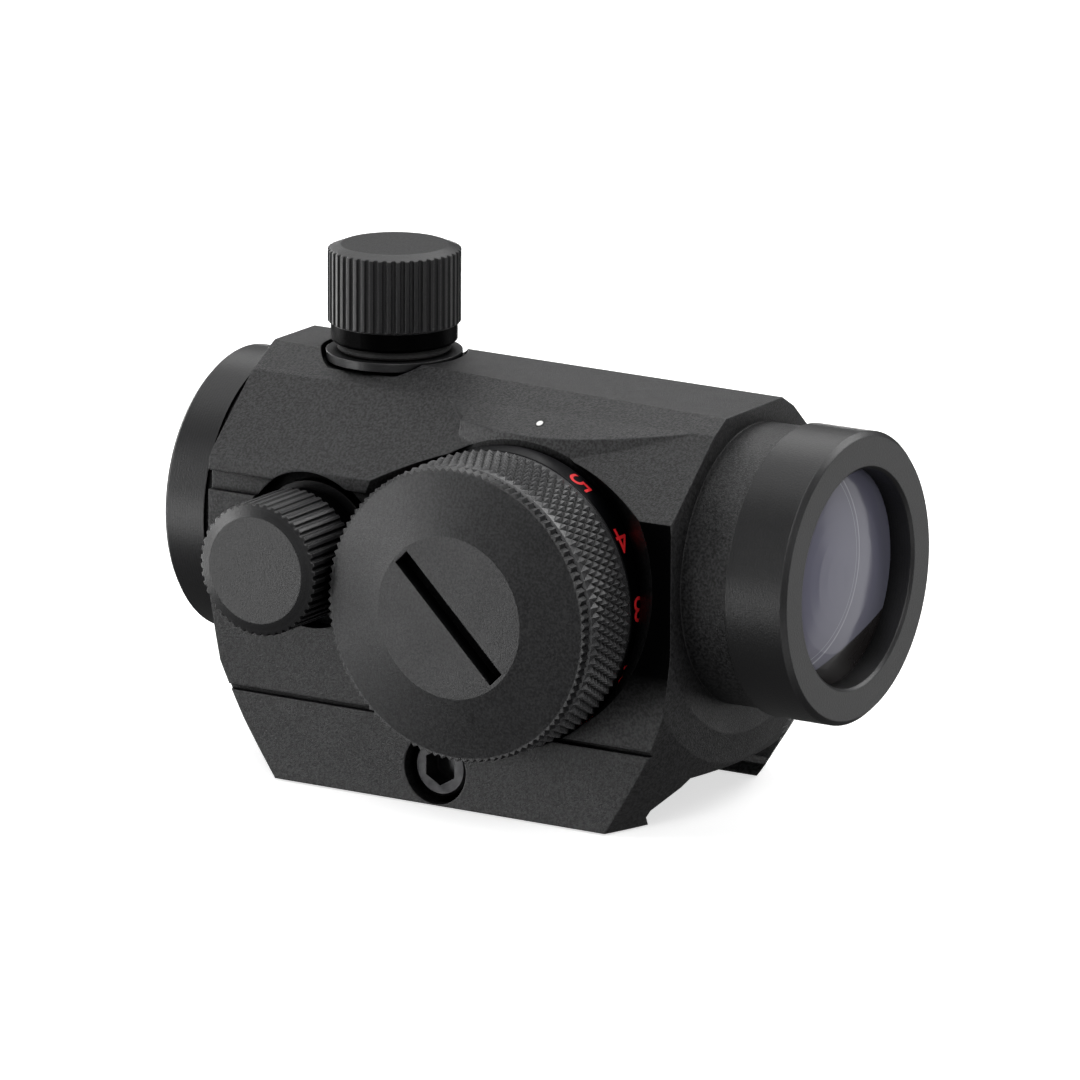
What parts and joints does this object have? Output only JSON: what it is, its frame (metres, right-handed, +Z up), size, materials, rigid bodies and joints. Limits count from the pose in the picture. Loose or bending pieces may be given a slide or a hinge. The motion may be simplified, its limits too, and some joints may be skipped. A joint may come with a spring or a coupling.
{
  "type": "red dot finder",
  "caption": "Compact tube red dot finder with rail clamp base, knurled brightness dial with battery cap, and capped elevation and windage screws.",
  "frame": {"origin": "middle of the flat seat that lies on the rail, below the optical axis", "axes": "+X to the right, the side of the brightness dial; +Y forwards along the line of sight; +Z up"},
  "size_m": [0.0382, 0.0661, 0.048],
  "materials": {
    "black_anodised": "bead-blasted, black anodised, matte",
    "black_satin": "turned, black anodised, satin",
    "black_turned": "turned and knurled, black anodised, fine matte",
    "coated_glass": "polished, lavender anti-reflection coating",
    "clear_glass": "polished",
    "black_plastic": "moulded",
    "led_red": "clear red epoxy",
    "spring_steel": "bright",
    "screw_steel": "zinc plated, satin",
    "brass_screw": "turned",
    "contact_brass": "stamped, bright",
    "rubber_seal": "nitrile",
    "circuit_board": "solder mask",
    "cell_steel": "nickel-plated can",
    "white_paint": "filled dot"
  },
  "bodies": {
    "housing": {"housing": "black_anodised", "objective_bezel": "black_satin", "objective_lens": "coated_glass", "objective_retainer": "black_satin", "ocular_bezel": "black_satin", "ocular_lens": "clear_glass", "ocular_retainer": "black_satin", "inner_tube": "black_satin", "emitter_mount": "black_plastic", "led_emitter": "led_red", "return_spring": "spring_steel", "elevation_base": "black_satin", "windage_base": "black_satin", "detent_ball": "spring_steel", "detent_spring": "spring_steel", "switch_board": "circuit_board", "index_dot": "white_paint", "guide_pins": "spring_steel"},
    "dial": {"brightness_dial": "black_turned", "dial_clip": "spring_steel", "switch_wiper": "contact_brass", "contact_disc": "black_plastic", "battery": "cell_steel"},
    "battery_cap_lift": {"battery_cap_seal": "rubber_seal"},
    "battery_cap": {"battery_cap": "black_turned", "battery_spring": "spring_steel"},
    "elevation_screw": {"elevation_screw": "brass_screw"},
    "elevation_cap_lift": {"elevation_seal": "rubber_seal"},
    "elevation_cap": {"elevation_cap": "black_turned"},
    "windage_screw": {"windage_screw": "brass_screw"},
    "windage_cap_lift": {"windage_seal": "rubber_seal"},
    "windage_cap": {"windage_cap": "black_turned"},
    "clamp_screw": {"clamp_screw": "screw_steel"},
    "clamp_plate": {"clamp_plate": "black_anodised", "clamp_nut": "screw_steel"}
  },
  "joints": [
    {"name": "dial_turn", "type": "hinge", "parent": "housing", "child": "dial", "pos_m": [0, 0.00084, 0.0159], "axis": [1, 0, 0], "continuous": true},
    {"name": "battery_cap_out", "type": "slide", "parent": "dial", "child": "battery_cap_lift", "axis": [1, 0, 0], "range_m": [0, 0.006]},
    {"name": "battery_cap_turn", "type": "hinge", "parent": "battery_cap_lift", "child": "battery_cap", "pos_m": [0, 0.00084, 0.0159], "axis": [1, 0, 0], "range_deg": [0, 1440]},
    {"name": "elevation_screw_turn", "type": "hinge", "parent": "housing", "child": "elevation_screw", "pos_m": [0, -0.0193, 0.03], "axis": [0, 0, 1], "range_deg": [-360, 360]},
    {"name": "elevation_cap_up", "type": "slide", "parent": "housing", "child": "elevation_cap_lift", "axis": [0, 0, 1], "range_m": [0, 0.006]},
    {"name": "elevation_cap_turn", "type": "hinge", "parent": "elevation_cap_lift", "child": "elevation_cap", "pos_m": [0, -0.0193, 0.035], "axis": [0, 0, 1], "range_deg": [0, 2160]},
    {"name": "windage_screw_turn", "type": "hinge", "parent": "housing", "child": "windage_screw", "pos_m": [0, -0.0193, 0.0177], "axis": [1, 0, 0], "range_deg": [-360, 360]},
    {"name": "windage_cap_out", "type": "slide", "parent": "housing", "child": "windage_cap_lift", "axis": [1, 0, 0], "range_m": [0, 0.006]},
    {"name": "windage_cap_turn", "type": "hinge", "parent": "windage_cap_lift", "child": "windage_cap", "pos_m": [0, -0.0193, 0.0177], "axis": [1, 0, 0], "range_deg": [0, 2160]},
    {"name": "clamp_screw_turn", "type": "hinge", "parent": "housing", "child": "clamp_screw", "pos_m": [0, -0.0057, -0.001], "axis": [1, 0, 0], "range_deg": [0, 1029]},
    {"name": "clamp_plate_open", "type": "slide", "parent": "housing", "child": "clamp_plate", "axis": [-1, 0, 0], "range_m": [0, 0.002]}
  ],
  "couplings": [
    {"joint": "battery_cap_turn", "follows": "battery_cap_out", "rad_per_m": 4188.8},
    {"joint": "elevation_cap_turn", "follows": "elevation_cap_up", "rad_per_m": 6283.2},
    {"joint": "windage_cap_turn", "follows": "windage_cap_out", "rad_per_m": 6283.2},
    {"joint": "clamp_screw_turn", "follows": "clamp_plate_open", "rad_per_m": 8976}
  ]
}
